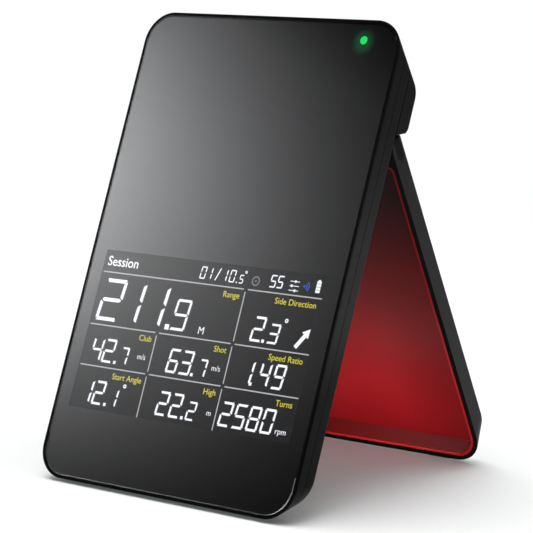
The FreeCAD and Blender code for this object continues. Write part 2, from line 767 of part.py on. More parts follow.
def tray_plate(inset, y0, y1):
    """Plate with the outline of the stand's tray, drawn in by an inset, within the stand's own walls."""
    plate = rounded_plate(STAND_HALF - STAND_RIM - inset,
                          HINGE_Z - STAND_BELOW + STAND_RIM_BOTTOM + inset,
                          HINGE_Z - LINER_TOP - inset,
                          STAND_CORNER_R - STAND_RIM - inset, y0, y1, r_high=TRAY_TOP_R - inset)
    if y0 < HINGE_Y - STAND_FRONT:
        front_room = block(-BIG / 2, BIG / 2, 0, HINGE_Y - STAND_FRONT, 0, BIG)
        return plate.common(stand_body(STAND_WALL + inset).fuse(front_room))
    return plate.common(stand_body(STAND_WALL + inset))


def tray_ramp(start, depth, half):
    """Sloping wall at the tray's bottom end, as the solid below and behind it."""
    front = HINGE_Y - STAND_FRONT
    bottom = HINGE_Z - STAND_BELOW + start
    slope = LINER_RAMP / (TRAY_DEPTH - LINER_FLOOR)
    back = front + depth + 1
    return side_prism([
        (front - 1, bottom - 3),
        (front - 1, bottom),
        (front, bottom),
        (back, bottom + slope * (depth + 1)),
        (back, bottom - 3),
    ], half)


def ear_slots():
    """Slots in the stand's top edge that the slab's ears stand in."""
    half = EAR_T / 2 + EAR_SLOT_GAP
    slot = block(EAR_X - half, EAR_X + half, 0, BIG, HINGE_Z - EAR_SLOT_BELOW, BIG)
    return mirrored(slot)


def hinge_cap_shape(margin, x0, x1):
    """Pill-shaped hinge cap at the right end, up to the stand's top edge."""
    radius = CAP_R + margin
    y = HINGE_Y + CAP_BACK
    return union([
        cylinder_x(y, HINGE_Z - CAP_BELOW, radius, x0, x1),
        block(x0, x1, y - radius, y + radius, HINGE_Z - CAP_BELOW, HINGE_Z + STAND_ABOVE),
    ])


def stand_outer():
    """Stand's solid outer shape."""
    body = round_back_edges(stand_body(0), HINGE_Y + STAND_BACK, STAND_EDGE_R)
    return body.common(stand_side_profile())


def stand_foot_block(sunk):
    """Right foot's block at the stand's bottom edge, before it is trimmed to the floor."""
    front = HINGE_Y - STAND_FRONT
    bottom = HINGE_Z - STAND_BELOW
    return block(STAND_FOOT_X - STAND_FOOT_HALF, STAND_FOOT_X + STAND_FOOT_HALF,
                 front + STAND_FOOT_FRONT, front + STAND_FOOT_T, bottom - 6, bottom + sunk)


def stand_shell():
    """Black tray-shaped shell of the stand."""
    ramp = tray_ramp(STAND_RIM_BOTTOM + LINER_WALL - RAMP_SHELL, TRAY_DEPTH, WIDTH)
    cuts = [tray_plate(0, 0, TRAY_FLOOR_Y).cut(ramp)] + ear_slots()
    cuts += mirrored(hinge_cap_shape(0.02, STAND_HALF - CAP_T - 0.02, BIG))
    cuts += mirrored(cylinder_x(HINGE_Y, HINGE_Z, PIN_R + 0.01, PIN_INNER_X, PIN_OUTER_X))
    cuts += mirrored(stand_foot_block(FOOT_SUNK))
    return without(stand_outer(), cuts)


def stand_liner():
    """Red inlay: a shallow tray with a ramp at its bottom end."""
    front = HINGE_Y - STAND_FRONT
    outer = tray_plate(LINER_GAP, front + LINER_GAP, TRAY_FLOOR_Y)
    outer = outer.cut(tray_ramp(STAND_RIM_BOTTOM + LINER_WALL - RAMP_SHELL + LINER_GAP, TRAY_DEPTH, WIDTH))
    ramp = tray_ramp(STAND_RIM_BOTTOM + LINER_WALL, TRAY_DEPTH - LINER_FLOOR, WIDTH)
    room = tray_plate(LINER_WALL, 0, TRAY_FLOOR_Y - LINER_FLOOR).cut(ramp)
    return outer.cut(room)


def hinge_pins():
    """Steel pins through the ears, fixed in the stand."""
    return Part.makeCompound(mirrored(cylinder_x(HINGE_Y, HINGE_Z, PIN_R, PIN_INNER_X, PIN_OUTER_X)))


def friction_washers():
    """Washers on both sides of each ear that hold the stand where it is put."""
    washers = []
    for side in (-1, 1):
        inner = EAR_X + side * (EAR_T / 2 + EAR_SLOT_GAP / 2)
        x0 = inner - WASHER_T / 2
        x1 = inner + WASHER_T / 2
        ring = cylinder_x(HINGE_Y, HINGE_Z, WASHER_R, x0, x1)
        washers += mirrored(ring.cut(cylinder_x(HINGE_Y, HINGE_Z, PIN_R + 0.02, x0 - 1, x1 + 1)))
    return Part.makeCompound(washers)


def hinge_caps():
    """Dark pill-shaped caps set in the stand's sides over the hinge."""
    cap = hinge_cap_shape(0, STAND_HALF - CAP_T, STAND_HALF)
    cap = cap.common(stand_outer())
    return Part.makeCompound(mirrored(cap))


# ---------------------------------------------------------------- placing and export

def lean_back(shape):
    """Leans the upright slab back and lifts its bottom edge to its height over the floor."""
    leant = shape.copy()
    leant.rotate(Vector(0, 0, 0), Vector(1, 0, 0), -LEAN)
    leant.translate(Vector(0, 0, FLOOR_CLEARANCE))
    return leant


def swing_open(shape):
    """Swings a folded piece of the stand open about the hinge."""
    opened = shape.copy()
    opened.rotate(Vector(0, HINGE_Y, HINGE_Z), Vector(1, 0, 0), OPEN_ANGLE)
    return opened


def above_floor(shapes):
    """Feet as they stand on the floor: everything below it is cut away."""
    air = Part.makeBox(BIG, BIG, BIG, Vector(-BIG / 2, -BIG / 2, 0))
    return Part.makeCompound([shape.common(air) for shape in shapes])


def body_feet():
    """Rubber feet under the slab, cut flat at the floor."""
    return above_floor([lean_back(foot) for foot in body_foot_blocks(FOOT_SUNK - 0.01)])


def stand_feet():
    """Rubber feet under the stand, cut flat at the floor in its open position."""
    blocks = mirrored(stand_foot_block(FOOT_SUNK - 0.01))
    return above_floor([lean_back(swing_open(foot)) for foot in blocks])


SLAB_PARTS = (
    front_glass, mask_film, glass_adhesive, display_bezel, lcd_panel, lcd_backlight, lcd_tray, display_flex,
    front_housing, rear_housing, hump_cover, housing_screws, cover_screws, main_board, main_chips,
    radar_board, patch_antennas, radar_shield, battery_cell, battery_tape, battery_leads, speaker,
    speaker_gasket, light_pipe, status_led, led_board, rear_board, tactile_switches, usb_connector,
)
STAND_PARTS = (stand_shell, stand_liner, hinge_pins, friction_washers, hinge_caps)
KEYS = ("power_button", *SMALL_KEYS_X)


def all_parts():
    """Every piece by name, standing on the floor with the stand open."""
    parts = {make.__name__: lean_back(make()) for make in SLAB_PARTS}
    parts.update({name: lean_back(key(name)) for name in KEYS})
    parts.update({make.__name__: lean_back(swing_open(make())) for make in STAND_PARTS})
    parts["body_feet"] = body_feet()
    parts["stand_feet"] = stand_feet()
    return parts


def main():
    parts = all_parts()
    box = Part.makeCompound(list(parts.values())).optimalBoundingBox(False, False)
    to_centre = Vector(-box.Center.x, -box.Center.y, 0)
    os.makedirs("parts", exist_ok=True)
    for name, shape in parts.items():
        shape.translate(to_centre)
        shape.exportStep(f"parts/{name}.step")


main()
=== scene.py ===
import json
import math

import bmesh
import bpy
from mathutils import Matrix, Vector


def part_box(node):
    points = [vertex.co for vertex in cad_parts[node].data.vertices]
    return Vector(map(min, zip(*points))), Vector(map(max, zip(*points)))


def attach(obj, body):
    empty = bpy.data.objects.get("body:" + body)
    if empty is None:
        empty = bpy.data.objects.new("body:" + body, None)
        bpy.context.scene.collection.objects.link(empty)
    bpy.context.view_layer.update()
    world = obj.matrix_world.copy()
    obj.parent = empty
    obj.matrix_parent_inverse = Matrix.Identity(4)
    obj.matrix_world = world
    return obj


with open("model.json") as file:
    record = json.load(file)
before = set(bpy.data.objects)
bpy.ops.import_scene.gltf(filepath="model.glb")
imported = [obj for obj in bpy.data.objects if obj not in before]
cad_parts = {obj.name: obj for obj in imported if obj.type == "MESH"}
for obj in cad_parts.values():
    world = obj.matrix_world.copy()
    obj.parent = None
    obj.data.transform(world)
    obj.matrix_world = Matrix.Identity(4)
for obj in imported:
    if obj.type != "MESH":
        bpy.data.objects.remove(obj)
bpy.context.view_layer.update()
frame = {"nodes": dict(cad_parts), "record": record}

# Lengths are metres, except on the slab's face, where they are millimetres from the middle of its
# bottom edge: x to the right, u up the face, and a depth behind the face.
MM = 0.001
LEAN = math.radians(21.7)
FACE_EDGE_RISE = 0.000168   # from the case's lowest point to the face's bottom edge

# Camera
CAMERA_AZIMUTH = 38.68
CAMERA_ELEVATION = 8.61
CAMERA_DISTANCE = 0.835
CAMERA_LENS = 164.4
CAMERA_TARGET = Vector((0.01066, -0.01260, 0.07550))

# Light card: where it hangs, and the centre, spreads and turn of its glow on its own plane
CARD_TARGET = Vector((0, -0.02542, 0.08338))
CARD_AZIMUTH = -44.3
CARD_ELEVATION = 24.8
CARD_DISTANCE = 0.90
CARD_SIZE = 1.1
CARD_CENTRE = (-0.263, -0.037)
CARD_SPREAD = (0.140, 0.199)
CARD_TURN = math.radians(-81.2)
CARD_TOP_FADE = (0.14, 0.25)
CARD_PEAK = 5.55

# Floor: small, so that the sides mirror the dark beyond it, with a glow that offsets the liner's bounce
FLOOR_HALF = 0.63
FLOOR_GLOW = 0.08
FLOOR_GLOW_COLOUR = (0.84, 1.0, 1.0, 1.0)

# Lamps
FRONT_FILL_POWER = 2.2
TRAY_FILL_POWER = 0.098

# Surroundings as seen by everything but the camera, by the height of the view direction
SKY_FADE = (0.45, 0.85)
SKY_LOW = 0.05
SKY_HIGH = 1.0

# Display, on the face
PRINT_DEPTH = 0.84
PARALLAX = -0.4             # the panel lies behind the glass, so its readings look shifted
GRID_LEFT, GRID_RIGHT = -49.3, 48.7
GRID_TOP, GRID_BOTTOM = 82.3, 25.5
COLUMN_A, COLUMN_B = -17.3, 16.3
ROW_TITLE, ROW_MAIN, ROW_MIDDLE = 74.4, 55.4, 40.7
LINE_WIDTH = 0.42
SLANT = math.radians(5.5)


# ---------------------------------------------------------------- node helpers

def srgb(red, green, blue):
    """Display values of 0 to 255 as a linear colour."""
    def linear(value):
        value /= 255
        return value / 12.92 if value <= 0.04045 else ((value + 0.055) / 1.055) ** 2.4
    return (linear(red), linear(green), linear(blue), 1.0)


def material(name):
    """New node material, with its tree and its Principled shader."""
    made = bpy.data.materials.new(name)
    made.use_nodes = True
    tree = made.node_tree
    return made, tree, tree.nodes["Principled BSDF"]


def add(tree, kind, **inputs):
    """New node with plain values set on its inputs."""
    node = tree.nodes.new(kind)
    for name, value in inputs.items():
        node.inputs[name.replace("_", " ")].default_value = value
    return node


def position(tree, scale):
    """Object coordinates times a scale."""
    coordinates = tree.nodes.new("ShaderNodeTexCoord")
    mapping = tree.nodes.new("ShaderNodeMapping")
    mapping.inputs["Scale"].default_value = scale
    tree.links.new(coordinates.outputs["Object"], mapping.inputs["Vector"])
    return mapping.outputs["Vector"]


def noise(tree, vector, scale, detail=3.0, roughness=0.5):
    """Noise between 0 and 1."""
    node = add(tree, "ShaderNodeTexNoise", Scale=scale, Detail=detail, Roughness=roughness)
    tree.links.new(vector, node.inputs["Vector"])
    return node.outputs["Fac"]


def ramp(tree, source, low, high, to_low=0.0, to_high=1.0):
    """Source remapped from one range to another, clamped."""
    node = tree.nodes.new("ShaderNodeMapRange")
    for name, value in (("From Min", low), ("From Max", high), ("To Min", to_low), ("To Max", to_high)):
        node.inputs[name].default_value = value
    tree.links.new(source, node.inputs["Value"])
    return node.outputs["Result"]


def blend_colours(tree, source, first, second):
    """Colour from the first to the second, each plain or linked, as the source goes from 0 to 1."""
    node = tree.nodes.new("ShaderNodeMix")
    node.data_type = "RGBA"
    for name, colour in (("A", first), ("B", second)):
        if isinstance(colour, bpy.types.NodeSocket):
            tree.links.new(colour, node.inputs[name])
        else:
            node.inputs[name].default_value = colour
    tree.links.new(source, node.inputs["Factor"])
    return node.outputs["Result"]


def bump(tree, shader, height, strength, distance):
    """Bump from a height."""
    node = add(tree, "ShaderNodeBump", Strength=strength, Distance=distance)
    tree.links.new(height, node.inputs["Height"])
    tree.links.new(node.outputs["Normal"], shader.inputs["Normal"])


def tint(made, mask, colour):
    """Blends a colour into a material's base where a mask is 1."""
    tree = made.node_tree
    base = tree.nodes["Principled BSDF"].inputs["Base Color"]
    tree.links.new(blend_colours(tree, mask, base.links[0].from_socket, colour), base)


def along(tree, kind, direction, origin=(0, 0, 0)):
    """Part of the object's position or surface normal that lies along a direction."""
    coordinates = tree.nodes.new("ShaderNodeTexCoord")
    from_origin = tree.nodes.new("ShaderNodeVectorMath")
    from_origin.operation = "SUBTRACT"
    tree.links.new(coordinates.outputs[kind], from_origin.inputs[0])
    from_origin.inputs[1].default_value = origin
    dot_product = tree.nodes.new("ShaderNodeVectorMath")
    dot_product.operation = "DOT_PRODUCT"
    tree.links.new(from_origin.outputs["Vector"], dot_product.inputs[0])
    dot_product.inputs[1].default_value = direction
    return dot_product.outputs["Value"]


def paint_side_reflection_and_shade(made, foot, middle, top):
    """Painted reflection and shade on a material, on the right side of the slab: a tone near the floor, at
    mid height and at the top.
    """
    tree = made.node_tree
    height = along(tree, "Object", (0, 0, 1))
    lower = blend_colours(tree, ramp(tree, height, *FOOT_TO_MIDDLE), foot, middle)
    whole = blend_colours(tree, ramp(tree, height, *MIDDLE_TO_TOP), lower, top)
    tint(made, ramp(tree, along(tree, "Normal", (1, 0, 0)), 0.6, 0.9), whole)
    return made


def moulded(name, dark, light, rough_low, rough_high, specular=0.35, grain=9000, grain_depth=0.000012,
            coat=0.0, coat_roughness=0.1):
    """Moulded plastic: a fine spark texture, cloudy gloss and faint handling marks."""
    made, tree, shader = material(name)
    base = position(tree, (1, 1, 1))
    cloud = noise(tree, base, 35, detail=4)
    fine = noise(tree, base, grain, detail=2)
    mottled = blend_colours(tree, ramp(tree, cloud, 0.3, 0.7), dark, light)
    tree.links.new(mottled, shader.inputs["Base Color"])
    tree.links.new(ramp(tree, cloud, 0.35, 0.65, rough_low, rough_high), shader.inputs["Roughness"])
    shader.inputs["Specular IOR Level"].default_value = specular
    shader.inputs["Coat Weight"].default_value = coat
    shader.inputs["Coat Roughness"].default_value = coat_roughness
    bump(tree, shader, fine, 0.5, grain_depth)
    return made


def metal(name, colour, rough_low, rough_high, stretch=(40, 40, 4000)):
    """Rolled or turned metal with fine drawn lines."""
    made, tree, shader = material(name)
    lines = noise(tree, position(tree, stretch), 1.0, detail=3)
    shader.inputs["Metallic"].default_value = 1.0
    darker = tuple(0.8 * c for c in colour[:3]) + (1.0,)
    tree.links.new(blend_colours(tree, lines, darker, colour), shader.inputs["Base Color"])
    tree.links.new(ramp(tree, lines, 0.3, 0.7, rough_low, rough_high), shader.inputs["Roughness"])
    bump(tree, shader, lines, 0.3, 0.00002)
    return made


def lit(name, colour, strength):
    """Lit segment: a faintly uneven glow over a dark base."""
    made, tree, shader = material(name)
    shader.inputs["Base Color"].default_value = (0.02, 0.02, 0.02, 1)
    shader.inputs["Roughness"].default_value = 0.4
    glow = noise(tree, position(tree, (1, 1, 1)), 260, detail=2)
    dim = tuple(0.93 * c for c in colour[:3]) + (1.0,)
    tree.links.new(blend_colours(tree, ramp(tree, glow, 0.3, 0.7), dim, colour),
                   shader.inputs["Emission Color"])
    shader.inputs["Emission Strength"].default_value = strength
    return made


# ---------------------------------------------------------------- materials

GLOW_GREEN = srgb(0, 226, 92)
# Painted green glow on the print round the status light: its colour, and the distances over which it fades.
PAINTED_GLOW_GREEN = (0.003, 0.058, 0.019, 1)
HALO_INNER, HALO_OUTER = 0.0016, 0.0054

# The stand's rim in the frame's open position: which way it faces, and the distances in front of the hinge
# line between which the painted highlight on the liner's lip begins
STAND_OPEN = math.radians(47.95)
STAND_TURN = STAND_OPEN - LEAN
RIM_NORMAL = (0, -math.cos(STAND_TURN), -math.sin(STAND_TURN))
HINGE = frame["record"]["behaviour"]["joints"][0]["pos_m"]
LIP_HIGHLIGHT_START = (0.0029, 0.0031)

# Heights over the floor between which the liner darkens towards the hinge, and between which the right
# side of the slab changes its tone. These tones stand in for the fall of the studio's light.
LINER_SHADE = (0.072, 0.102)
FOOT_TO_MIDDLE = (0.040, 0.062)
MIDDLE_TO_TOP = (0.085, 0.122)


def cover_glass():
    """Dark tinted glass, polished, with the faintest uneven wiping marks."""
    made, tree, shader = material("cover_glass")
    shader.inputs["Base Color"].default_value = (0.90, 0.91, 0.93, 1)
    shader.inputs["Transmission Weight"].default_value = 1.0
    shader.inputs["IOR"].default_value = 1.52
    wiped = noise(tree, position(tree, (1, 1, 1)), 22, detail=5)
    tree.links.new(ramp(tree, wiped, 0.4, 0.75, 0.0, 0.012), shader.inputs["Roughness"])
    return made


def liner_red():
    """Satin red inlay, with painted light and shade: a painted highlight on its lip, and painted shade on its
    top and on the ramp at its bottom end.
    """
    made = moulded("liner_red", srgb(82, 2, 5), srgb(90, 3, 6), 0.36, 0.46, specular=0.2, grain=6000,
                   grain_depth=0.00001)
    tree = made.node_tree
    height = along(tree, "Object", (0, 0, 1))
    # Painted shade: darker towards the hinge.
    tint(made, ramp(tree, height, *LINER_SHADE), srgb(34, 0, 1))
    # Painted shade on the faces that look up, such as the ramp at the bottom end.
    tint(made, ramp(tree, along(tree, "Normal", (0, 0, 1)), -0.1, 0.1), srgb(62, 0, 0))
    # Painted highlight on the lip.
    tint(made, ramp(tree, along(tree, "Object", RIM_NORMAL, HINGE), *LIP_HIGHLIGHT_START), srgb(128, 8, 11))
    return made


def stand_black():
    """Satin black plastic, with painted shade that makes its rim the darkest part of it."""
    made = moulded("stand_black", srgb(40, 40, 41), srgb(46, 46, 47), 0.38, 0.48, specular=0.10)
    tree = made.node_tree
    # Painted shade on the rim.
    tint(made, ramp(tree, along(tree, "Normal", RIM_NORMAL), 0.9, 0.99), srgb(4, 4, 4))
    return made


def rubber():
    """Matt rubber with a fine grain."""
    return moulded("foot_rubber", srgb(20, 20, 21), srgb(30, 30, 31), 0.75, 0.9, specular=0.2, grain=4000,
                   grain_depth=0.00004)


def board_green():
    """Solder mask with faint copper tracks under it."""
    made, tree, shader = material("board_green")
    tracks = add(tree, "ShaderNodeTexWave", Scale=260.0, Distortion=6.0, Detail=1.0)
    tree.links.new(position(tree, (1, 1, 1)), tracks.inputs["Vector"])
    lines = ramp(tree, tracks.outputs["Fac"], 0.45, 0.55)
    tree.links.new(blend_colours(tree, lines, srgb(6, 66, 34), srgb(16, 96, 48)), shader.inputs["Base Color"])
    tree.links.new(ramp(tree, lines, 0, 1, 0.25, 0.4), shader.inputs["Roughness"])
    bump(tree, shader, lines, 0.4, 0.00003)
    return made


def black_print():
    """Glossy print behind the glass, with a painted green glow round the status light, where its light
    bleeds.
    """
    made = moulded("black_print", srgb(3, 3, 4), srgb(5, 5, 6), 0.03, 0.06, specular=1.0, grain=2500,
                   grain_depth=0.00000002)
    tree = made.node_tree
    shader = tree.nodes["Principled BSDF"]
    low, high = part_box("light_pipe")
    reach = tree.nodes.new("ShaderNodeVectorMath")
    reach.operation = "DISTANCE"
    tree.links.new(position(tree, (1, 1, 1)), reach.inputs[0])
    reach.inputs[1].default_value = ((low.x + high.x) / 2, low.y, (low.z + high.z) / 2)
    fade = ramp(tree, reach.outputs["Value"], HALO_INNER, HALO_OUTER)
    fade.node.interpolation_type = "SMOOTHSTEP"
    tree.links.new(blend_colours(tree, fade, PAINTED_GLOW_GREEN, (0, 0, 0, 1)), shader.inputs["Emission Color"])
    shader.inputs["Emission Strength"].default_value = 1.0
    return made


def lcd_glass():
    """Switched-off cells of the panel: a dark grey that glows very faintly."""
    made, tree, shader = material("lcd_glass")
    cells = noise(tree, position(tree, (1, 1, 1)), 60, detail=3)
    shader.inputs["Base Color"].default_value = srgb(8, 8, 9)
    shader.inputs["Specular IOR Level"].default_value = 0.1
    tree.links.new(ramp(tree, cells, 0.3, 0.7, 0.3, 0.4), shader.inputs["Roughness"])
    tree.links.new(blend_colours(tree, cells, srgb(26, 26, 27), srgb(30, 30, 31)),
                   shader.inputs["Emission Color"])
    shader.inputs["Emission Strength"].default_value = 1.0
    return made


SLOTS = {
    "cover_glass": cover_glass(),
    "black_print": black_print(),
    "black_foam": moulded("black_foam", srgb(22, 22, 22), srgb(34, 34, 34), 0.85, 0.95, grain=3000,
                          grain_depth=0.00006),
    # On its right side: painted shade near the floor and painted reflection from mid height up.
    "gloss_black": paint_side_reflection_and_shade(moulded("gloss_black", srgb(3, 3, 3), srgb(6, 6, 6), 0.30, 0.40, specular=0.05,
                                      grain=2500, grain_depth=0.000002),
                              srgb(2, 2, 2), srgb(43, 43, 43), srgb(30, 30, 30)),
    "lcd_glass": lcd_glass(),
    "diffuser_white": moulded("diffuser_white", srgb(225, 226, 230), srgb(240, 241, 244), 0.3, 0.45),
    "steel": metal("steel", srgb(176, 177, 180), 0.24, 0.42),
    "black_steel": metal("black_steel", srgb(52, 52, 54), 0.3, 0.5),
    "flex_amber": moulded("flex_amber", srgb(150, 82, 20), srgb(176, 100, 28), 0.25, 0.4),
    # On its right side: painted shade near the floor and painted reflection from mid height up.
    "housing_black": paint_side_reflection_and_shade(moulded("housing_black", srgb(26, 26, 27), srgb(31, 31, 32), 0.27, 0.37,
                                        specular=0.06),
                                srgb(2, 2, 2), srgb(47, 47, 47), srgb(34, 34, 34)),
    "board_green": board_green(),
    "chip_black": moulded("chip_black", srgb(30, 30, 31), srgb(40, 40, 41), 0.5, 0.65),
    "copper": metal("copper", srgb(214, 150, 96), 0.25, 0.4),
    "battery_pouch": metal("battery_pouch", srgb(190, 190, 196), 0.3, 0.5, stretch=(300, 300, 300)),
    "lead_red": moulded("lead_red", srgb(150, 16, 16), srgb(176, 22, 22), 0.4, 0.5),
    "clear_rod": lit("clear_rod", GLOW_GREEN, 1.2),
    "led_green": lit("led_green", GLOW_GREEN, 3.0),
    "foot_rubber": rubber(),
    "key_black": moulded("key_black", srgb(38, 38, 40), srgb(46, 46, 48), 0.45, 0.6, specular=0.35),
    "stand_black": stand_black(),
    "liner_red": liner_red(),
    "hinge_dark": moulded("hinge_dark", srgb(5, 5, 6), srgb(9, 9, 10), 0.45, 0.55, specular=0.12),
}


def dress_frame():
    """Gives every CAD node the material of its slot."""
    for entry in frame["record"]["subparts"]:
        mesh = frame["nodes"][entry["node"]].data
        mesh.materials.clear()
        mesh.materials.append(SLOTS[entry["material_slot"]])


# ---------------------------------------------------------------- the face's own plane

def face_matrix():
    """From millimetres on the face (x, u, towards the viewer) to metres in the frame."""
    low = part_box("display_bezel")[0] + Vector((0, 0, FACE_EDGE_RISE))
    across = Vector((1, 0, 0))
    up = Vector((0, math.sin(LEAN), math.cos(LEAN)))
    out = across.cross(up)
    turn = Matrix((across, up, out)).transposed().to_4x4()
    return Matrix.Translation((0, low[1], low[2])) @ turn @ Matrix.Scale(MM, 4)


FACE = face_matrix()


def piece_from(name, mesh_data, made, body="monitor"):
    """Object from bmesh data in face coordinates, riding on a body."""
    mesh = bpy.data.meshes.new(name)
    mesh_data.normal_update()
    mesh_data.to_mesh(mesh)
    mesh_data.free()
    mesh.transform(FACE)
    mesh.materials.append(made)
    piece = bpy.data.objects.new(name, mesh)
    bpy.context.scene.collection.objects.link(piece)
    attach(piece, body)
    return piece


def add_prism(mesh_data, outline, depth=PRINT_DEPTH, thickness=0.03):
    """Adds a thin raised shape with an (x, u) outline, wound anticlockwise."""
    front = [mesh_data.verts.new((x + PARALLAX, u, -depth)) for x, u in outline]
    back = [mesh_data.verts.new((x + PARALLAX, u, -depth - thickness)) for x, u in outline]
    mesh_data.faces.new(front)
    mesh_data.faces.new(list(reversed(back)))
    count = len(outline)
    for i in range(count):
        j = (i + 1) % count
        mesh_data.faces.new((front[j], front[i], back[i], back[j]))


def bar(mesh_data, x0, x1, u0, u1):
    """Adds a straight rectangular bar."""
    add_prism(mesh_data, [(x0, u0), (x1, u0), (x1, u1), (x0, u1)])


def disc(mesh_data, x, u, radius, count=28):
    """Adds a round dot."""
    add_prism(mesh_data, [(x + radius * math.cos(2 * math.pi * i / count),
                           u + radius * math.sin(2 * math.pi * i / count)) for i in range(count)])


def ring(mesh_data, x, u, outer, inner, count=32):
    """Adds a round ring, from short bars that share their ends."""
    for i in range(count):
        a, b = (2 * math.pi * k / count for k in (i, i + 1))
        add_prism(mesh_data, [(x + inner * math.cos(a), u + inner * math.sin(a)),
                              (x + outer * math.cos(a), u + outer * math.sin(a)),
                              (x + outer * math.cos(b), u + outer * math.sin(b)),
                              (x + inner * math.cos(b), u + inner * math.sin(b))])


def arc_band(mesh_data, x, u, outer, inner, start, stop, count=14):
    """Adds part of a ring between two angles in degrees."""
    for i in range(count):
        a, b = (math.radians(start + (stop - start) * k / count) for k in (i, i + 1))
        add_prism(mesh_data, [(x + inner * math.cos(a), u + inner * math.sin(a)),
                              (x + outer * math.cos(a), u + outer * math.sin(a)),
                              (x + outer * math.cos(b), u + outer * math.sin(b)),
                              (x + inner * math.cos(b), u + inner * math.sin(b))])


# ---------------------------------------------------------------- seven-segment readings

SEGMENTS = {
    "0": "abcdef", "1": "bc", "2": "abged", "3": "abgcd", "4": "fgbc", "5": "afgcd",
    "6": "afgedc", "7": "abc", "8": "abcdefg", "9": "abcdfg",
}


def segment_outlines(width, height, stroke):
    """Outlines of the seven segments of a digit, mitred where they meet, before slanting."""
    s, h = stroke, height / 2
    gap = 0.16 * s
    cut = 0.5 * s

    def across(u, above, below):
        """Horizontal segment; above and below say how far its ends are cut back on each side."""
        return [(cut + gap + below, u - s / 2), (width - cut - gap - below, u - s / 2),
                (width - gap - above, u + s / 2), (gap + above, u + s / 2)]

    def upright(x0, x1, u0, u1, tip0, tip1):
        return [(x0, u0 + tip0), (x1, u0 + tip1), (x1, u1 - tip1), (x0, u1 - tip0)]

    top = [(gap + cut, height - s), (width - gap - cut, height - s),
           (width - gap * 2, height), (gap * 2, height)]
    bottom = [(gap * 2, 0), (width - gap * 2, 0), (width - gap - cut, s), (gap + cut, s)]
    middle = [(s * 0.45, h), (s * 0.95, h - s / 2), (width - s * 0.95, h - s / 2),
              (width - s * 0.45, h), (width - s * 0.95, h + s / 2), (s * 0.95, h + s / 2)]
    low, high = gap + 0.35 * s, h - gap
    return {
        "a": top,
        "d": bottom,
        "g": middle,
        "e": upright(0, s, low, high - 0.1 * s, 0, 0.75 * s - gap),
        "c": upright(width - s, width, low, high - 0.1 * s, 0.75 * s - gap, 0),
        "f": upright(0, s, h + gap + 0.1 * s, height - low, 0, 0.75 * s - gap),
        "b": upright(width - s, width, h + gap + 0.1 * s, height - low, 0.75 * s - gap, 0),
    }


def digit(mesh_data, char, x, u, width, height, stroke):
    """Adds one slanted digit with its lower left corner at (x, u)."""
    outlines = segment_outlines(width, height, stroke)
    lean = math.tan(SLANT)
    for name in SEGMENTS[char]:
        add_prism(mesh_data, [(x + px + pu * lean, u + pu) for px, pu in outlines[name]])


def dot(mesh_data, x, u, size):
    """Adds a square decimal point."""
    bar(mesh_data, x, x + size, u, u + size)


def readings():
    """White figures in every cell of the display."""
    figures = bmesh.new()
    # (character, x, u, width, height, stroke)
    placed = (
        ("2", -47.0, 57.0, 9.8, 15.2, 1.35), ("1", -37.9, 57.0, 9.8, 15.2, 1.35),
        ("1", -27.0, 57.0, 9.8, 15.2, 1.35), ("9", -12.6, 57.1, 6.6, 11.1, 0.95),
        ("2", 22.6, 57.2, 4.9, 8.7, 0.85), ("3", 29.9, 57.2, 4.3, 6.9, 0.75),
        ("4", -45.2, 42.4, 4.9, 8.5, 0.85), ("2", -39.6, 42.4, 4.9, 8.5, 0.85),
        ("7", -31.4, 42.4, 3.4, 6.4, 0.70),
        ("6", -10.0, 42.4, 4.7, 8.5, 0.85), ("3", -4.2, 42.4, 4.9, 8.5, 0.85),
        ("7", 4.0, 42.4, 3.4, 6.4, 0.70),
        ("1", 22.5, 42.4, 4.7, 8.5, 0.85), ("4", 30.0, 42.4, 4.4, 8.5, 0.85),
        ("9", 35.9, 42.4, 4.6, 8.5, 0.85),
        ("1", -45.0, 27.4, 4.7, 8.5, 0.85), ("2", -39.4, 27.4, 4.7, 8.5, 0.85),
        ("1", -31.6, 27.4, 3.4, 6.6, 0.70),
        ("2", -10.1, 27.4, 4.7, 8.5, 0.85), ("2", -4.1, 27.4, 4.7, 8.5, 0.85),
        ("2", 3.5, 27.4, 3.7, 6.6, 0.70),
        ("2", 17.7, 27.4, 4.8, 8.5, 0.85), ("5", 23.7, 27.4, 4.8, 8.5, 0.85),
        ("8", 29.7, 27.4, 4.8, 8.5, 0.85), ("0", 35.7, 27.4, 4.8, 8.5, 0.85),
    )
    for char, x, u, width, height, stroke in placed:
        digit(figures, char, x, u, width, height, stroke)
    for x, u, size in ((-14.7, 57.0, 1.9), (27.9, 57.2, 1.1), (-33.7, 42.4, 1.1), (1.4, 42.4, 1.1),
                       (27.0, 42.4, 1.1), (-33.5, 27.4, 1.1), (1.6, 27.4, 1.1)):
        dot(figures, x, u, size)
    for x, u in ((36.4, 65.6), (-25.8, 35.3)):
        ring(figures, x, u, 0.72, 0.3)
    return piece_from("display_readings", figures, WHITE)


